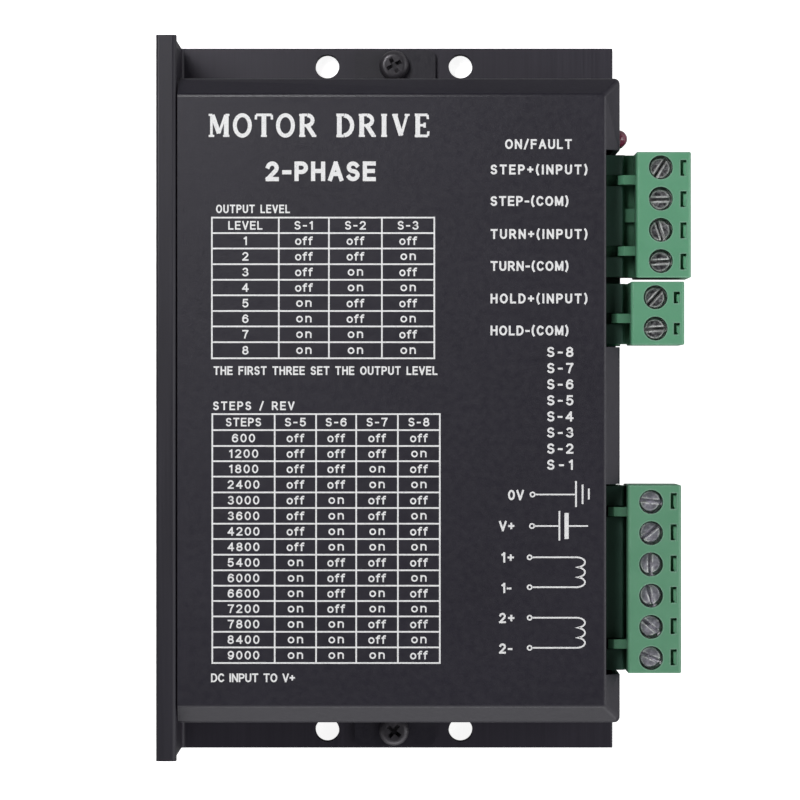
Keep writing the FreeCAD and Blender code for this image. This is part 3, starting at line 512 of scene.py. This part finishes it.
class Ink:
    """Gathers flat printed shapes and makes one thin solid piece of them."""

    def __init__(self, name):
        self.name, self.verts, self.faces = name, [], []

    def solid(self, left, right, closed=False, lift=0.0):
        """A flat ribbon between two rows of points, as a closed solid."""
        first, count = len(self.verts), len(left)
        for (lx, ly), (rx, ry) in zip(left, right):
            for z in (INK_BOTTOM, INK_TOP + lift):
                self.verts += [(lx, ly, z), (rx, ry, z)]
        for i in range(count if closed else count - 1):
            a, b = first + 4 * i, first + 4 * ((i + 1) % count)
            self.faces += [(a + 2, a + 3, b + 3, b + 2), (a, b, b + 1, a + 1),
                           (a, a + 2, b + 2, b), (a + 1, b + 1, b + 3, a + 3)]
        if not closed:
            a, b = first, first + 4 * (count - 1)
            self.faces += [(a, a + 1, a + 3, a + 2), (b, b + 2, b + 3, b + 1)]

    def rect(self, x0, y_top, x1, y_bottom):
        self.solid([(x0, y_top), (x1, y_top)], [(x0, y_bottom), (x1, y_bottom)])

    def strip(self, points, width, closed=False, lift=0.0, reach=0.0):
        """A line of constant width, mitred at its corners; reach lengthens both ends."""
        p = [Vector(point) for point in points]
        half, count = width / 2, len(p)
        if reach and not closed:
            p[0] = p[0] + (p[0] - p[1]).normalized() * reach
            p[-1] = p[-1] + (p[-1] - p[-2]).normalized() * reach
        left, right = [], []
        for i in range(count):
            before = after = None
            if i > 0 or closed:
                before = (p[i] - p[i - 1]).normalized()
            if i < count - 1 or closed:
                after = (p[(i + 1) % count] - p[i]).normalized()
            if before is None or after is None:
                along = before or after
                offset = Vector((-along.y, along.x)) * half
            else:
                along = (before + after).normalized()
                offset = Vector((-along.y, along.x)) * (half / max(0.45, along.dot(after)))
            left.append(p[i] + offset)
            right.append(p[i] - offset)
        self.solid(left, right, closed, lift)

    def ring(self, x, y, radius):
        angles = [2 * math.pi * i / 20 for i in range(20)]
        points = [(x + radius * math.cos(a), y - radius * math.sin(a)) for a in angles]
        self.strip(points, THIN, closed=True)

    def write(self, words, y, cap, weight, ends=None, centre=None, wide=1.0, gap=0.0,
              font=PLAIN):
        """Lettering about the height y; cap is its height between stroke centres.

        It is spread to fit between ends, or set about centre with its own gap.
        """
        unit = cap / 10.0
        widths = [font[c][0] * unit * wide for c in words]
        if ends:
            gap = (ends[1] - ends[0] - weight - sum(widths)) / (len(words) - 1)
            x = ends[0] + weight / 2
        else:
            x = centre - (sum(widths) + gap * (len(words) - 1)) / 2
        base = y - cap / 2
        for character, width in zip(words, widths):
            for i, stroke in enumerate(font[character][1]):
                heavy, reach = weight, weight * STROKE_END
                if font is HEADING:
                    heavy, reach = (stroke[0] * HEADING_GAIN + HEADING_EXTRA) * unit, 0.0
                    stroke = stroke[1]
                closed = stroke[-1] == "closed"
                points = [(x + px * unit * wide, base + py * unit)
                          for px, py in (stroke[:-1] if closed else stroke)]
                self.strip(points, heavy, closed, STROKE_LIFT * i, reach)
            x += width + gap

    def make(self):
        mesh = bpy.data.meshes.new(self.name)
        places = [tuple(v / 1000 for v in vert) for vert in self.verts]
        mesh.from_pydata(places, [], self.faces)
        bm = bmesh.new()
        bm.from_mesh(mesh)
        bmesh.ops.recalc_face_normals(bm, faces=bm.faces)
        bm.to_mesh(mesh)
        bm.free()
        mesh.materials.append(materials["ink"])
        obj = bpy.data.objects.new(self.name, mesh)
        scene.collection.objects.link(obj)
        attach(obj, "module")


# stroke weights, and the cap height of notes and tables
THIN, MEDIUM, LABEL, BOLD, HEAVY = 0.244, 0.260, 0.309, 0.317, 0.682
NOTE_CAP = 1.170
TERMINAL_CAP = 1.365


def switch_states(number, switches):
    """A row of the plain count from all off, with the last switch changing fastest."""
    return ["on" if number >> (switches - 1 - i) & 1 else "off" for i in range(switches)]


def print_table(name, xs, ys, rows):
    """A ruled table with each cell's words centred in it; ys run downwards."""
    ink = Ink(name)
    half = MEDIUM / 2
    for x in xs:
        ink.rect(x - half, ys[0] + half, x + half, ys[-1] - half)
    for y in ys:
        for x0, x1 in zip(xs, xs[1:]):
            ink.rect(x0 + half, y + half, x1 - half, y - half)
    for r, row in enumerate(rows):
        middle = (ys[r] + ys[r + 1]) / 2
        for c, word in enumerate(row):
            if word == "on":
                rise, wide, gap = 0.0975, 1.3, 0.650
            elif word == "off":
                rise, wide, gap = 0.016, 1.2, 0.471
            elif len(word) < 5:
                rise, wide, gap = 0.0, 1.12, 0.585
            else:
                rise, wide, gap = 0.0, 1.0, 0.487
            ink.write(word, middle + rise, NOTE_CAP, THIN, centre=(xs[c] + xs[c + 1]) / 2,
                      wide=wide, gap=gap)
    ink.make()


def print_title():
    ink = Ink("print_title")
    ink.write("MOTOR DRIVE", 44.287, cap=3.411, weight=0.325, ends=(-30.250, 5.893),
              wide=0.94, font=HEADING)
    ink.write("2-PHASE", 36.831, cap=2.534, weight=HEAVY, ends=(-20.829, -2.879))
    ink.make()


def print_notes():
    ink = Ink("print_notes")
    # words, y, cap, weight, ends in x, letter width
    for words, y, cap, weight, ends, wide in (
        ("OUTPUT LEVEL", 30.723, 1.137, THIN, (-28.870, -16.849), 0.88),
        ("THE FIRST THREE SET THE OUTPUT LEVEL", 4.456, NOTE_CAP, MEDIUM,
         (-29.276, 7.112), 0.92),
        ("STEPS / REV", -1.262, NOTE_CAP, MEDIUM, (-29.357, -16.118), 1.0),
        ("DC INPUT TO V+", -45.447, NOTE_CAP, MEDIUM, (-29.682, -16.037), 1.0),
    ):
        ink.write(words, y, cap, weight, ends=ends, wide=wide)
    ink.make()


def print_labels():
    ink = Ink("print_terminal_labels")
    cap = 1.300
    ink.write("ON/FAULT", 41.249, cap, LABEL, ends=(18.077, 28.960))
    # signal inputs share a left end: words, y, length
    left, long, short = 15.721, 15.757, 12.671
    for words, y, length in (
        ("STEP+(INPUT)", 37.123, long), ("STEP-(COM)", 32.006, short),
        ("TURN+(INPUT)", 26.646, long), ("TURN-(COM)", 21.447, short),
        ("HOLD+(INPUT)", 16.168, long), ("HOLD-(COM)", 10.970, short),
    ):
        ink.write(words, y, cap, BOLD, ends=(left, left + length))
    switch_y, switch_pitch = 7.477, 2.6153
    for i in range(8):
        ink.write("S-%d" % (8 - i), switch_y - i * switch_pitch, TERMINAL_CAP, LABEL,
                  ends=(24.899, 29.204), wide=1.12)
    # power terminals: words, left end, right end, y
    for words, x0, x1, y in (
        ("0V", 18.564, 21.163, -15.752), ("V+", 17.102, 19.620, BATTERY_Y),
        ("1+", 17.427, 19.539, -25.905), ("1-", 17.427, 19.132, -30.859),
        ("2+", 17.102, 19.620, -35.733), ("2-", 17.102, 19.295, -40.687),
    ):
        ink.write(words, y, TERMINAL_CAP, BOLD, ends=(x0, x1))
    ink.make()


BATTERY_Y = -20.788


def draw_earth(ink):
    y = -15.671
    ink.ring(22.560, y, radius=0.357)
    ink.strip([(22.982, y), (29.480, y)], THIN)
    # bars: x, upper end, lower end
    for x, upper, lower in (
        (29.610, -13.478, -17.701), (30.682, -14.046, -17.214), (31.689, -14.696, -16.483),
    ):
        ink.strip([(x, upper), (x, lower)], 0.292)


def draw_battery(ink):
    ink.ring(22.462, BATTERY_Y, radius=0.357)
    ink.strip([(22.885, BATTERY_Y), (26.816, BATTERY_Y)], THIN)
    ink.strip([(26.913, -18.351), (26.913, -23.143)], 0.276)
    ink.strip([(28.083, -18.676), (28.083, -22.900)], HEAVY)
    ink.strip([(28.424, BATTERY_Y), (31.559, BATTERY_Y)], THIN)


def draw_coil(ink, top, bottom):
    """Three half-round turns bulging towards +X, with a lead and a ring at each end."""
    lead_start, lead_end = 22.495, 28.635
    turn_x, bulge = 29.707, 1.365
    for y in (top, bottom):
        ink.ring(22.073, y, radius=0.341)
    path = [(lead_start, top), (lead_end, top), (29.610, top)]
    radius = (top - bottom) / 6
    for turn in range(3):
        middle = top - radius * (2 * turn + 1)
        for i in range(0 if turn == 0 else 1, 11):
            a = -math.pi / 2 + math.pi * i / 10
            path.append((turn_x + bulge * math.cos(a), middle - radius * math.sin(a)))
    ink.strip(path + [(lead_end, bottom), (lead_start, bottom)], MEDIUM)


def print_symbols():
    ink = Ink("print_symbols")
    draw_earth(ink)
    draw_battery(ink)
    draw_coil(ink, top=-25.872, bottom=-30.729)
    draw_coil(ink, top=-35.684, bottom=-40.573)
    ink.make()


print_title()
print_notes()
print_table(
    "print_current_table",
    xs=(-29.536, -18.668, -10.530, -1.920, 6.592),
    ys=(29.310, 26.792, 24.290, 21.740, 19.206, 16.688, 14.137, 11.636, 9.069, 6.454),
    rows=[["LEVEL", "S-1", "S-2", "S-3"]]
    + [[str(k + 1)] + switch_states(k, 3) for k in range(8)],
)
print_table(
    "print_step_table",
    xs=(-29.471, -19.334, -12.609, -6.095, 0.679, 7.485),
    ys=(-2.610, -5.210, -7.792, -10.262, -12.763, -15.330, -17.864, -20.414, -22.900,
        -25.450, -27.984, -30.486, -32.971, -35.473, -37.974, -40.508, -43.043),
    rows=[["STEPS", "S-5", "S-6", "S-7", "S-8"]]
    + [[str(600 * (k + 1))] + switch_states(k, 4) for k in range(15)],
)
print_labels()
print_symbols()


# ------------------------------------------------------------------ stage, light and camera
def build_floor():
    """A pale floor that looks nearly white to the camera but throws back less light."""
    reach, z = 3, -0.0002
    corners = [(-reach, -reach, z), (reach, -reach, z), (reach, reach, z), (-reach, reach, z)]
    mesh = bpy.data.meshes.new("floor")
    mesh.from_pydata(corners, [], [(0, 1, 2, 3)])
    floor = bpy.data.objects.new("floor", mesh)
    scene.collection.objects.link(floor)
    s = Surface("pale_floor")
    seen = s.node("LightPath").outputs["Is Camera Ray"]
    s.look("Base Color", s.mix(seen, grey(0.45), grey(0.90)))
    s.look("Roughness", 0.9)
    s.look("Specular IOR Level", 0.1)
    s.look("Emission Color", (1, 1, 1, 1))
    s.look("Emission Strength", s.math("MULTIPLY", seen, 0.9))
    mesh.materials.append(s.material)


def build_world():
    """Soft room: a low glow from +X, a band half way up from -Y, and nearly dark elsewhere."""
    glow_strength, band_strength, ambient = 1.70, 1.53, 0.012
    world = bpy.data.worlds.new("studio")
    scene.world = world
    world.use_nodes = True
    g = Graph(world.node_tree)
    x, y, z = g.node("SeparateXYZ", {0: g.node("TexCoord").outputs["Generated"]}).outputs
    up = g.math("ABSOLUTE", z)
    rest = g.math("SUBTRACT", 1.0, up)
    glow = g.math("MULTIPLY", g.math("POWER", rest, 1.5), g.math("MAXIMUM", x, 0.0))
    arch = g.math("MULTIPLY", g.math("MULTIPLY", up, rest), 4.0)
    south = g.math("MAXIMUM", g.math("MULTIPLY", y, -1.0), 0.0)
    band = g.math("MULTIPLY", arch, south)
    level = g.math("ADD", g.math("MULTIPLY", glow, glow_strength),
                   g.math("MULTIPLY", band, band_strength))
    background = g.node("Background", {
        "Strength": g.math("ADD", level, ambient), "Color": (1, 1, 1, 1),
    })
    g.node("OutputWorld", {0: background.outputs[0]})


# name, place, size in x and y, watts
LIGHTS = (
    ("key_near", (-0.16, 0.24, 0.40), (0.15, 0.15), 0.82),
    ("key_side", (-0.20, 0.17, 0.50), (0.18, 0.18), 0.60),
    ("fill_east", (0.55, 0.04, 0.50), (0.40, 0.40), 1.18),
    ("fill_bench", (0.30, -0.05, 0.60), (0.12, 0.12), 0.03),
    ("strip_south", (0.0, -1.10, 0.22), (1.20, 0.50), 3.80),
)
LIGHT_TARGET = Vector((0, 0, 0.02))


def build_lights():
    for name, place, size, watts in LIGHTS:
        light = bpy.data.lights.new(name, "AREA")
        light.shape = "RECTANGLE"
        light.size, light.size_y = size
        light.energy = watts
        obj = bpy.data.objects.new(name, light)
        scene.collection.objects.link(obj)
        obj.location = place
        aim = LIGHT_TARGET - Vector(place)
        obj.rotation_euler = aim.to_track_quat("-Z", "Y").to_euler()
        obj.visible_camera = False


def build_camera():
    """Looks straight down with a long lens."""
    camera = bpy.data.cameras.new("camera")
    camera.sensor_width = 36.0
    camera.lens = 212.6124
    camera.clip_start, camera.clip_end = 0.01, 20.0
    obj = bpy.data.objects.new("camera", camera)
    scene.collection.objects.link(obj)
    obj.location = (0.00102, -0.00032, 0.801)
    scene.camera = obj


build_floor()
build_world()
build_lights()
build_camera()
scene.view_settings.view_transform = "Standard"
scene.view_settings.look = "None"
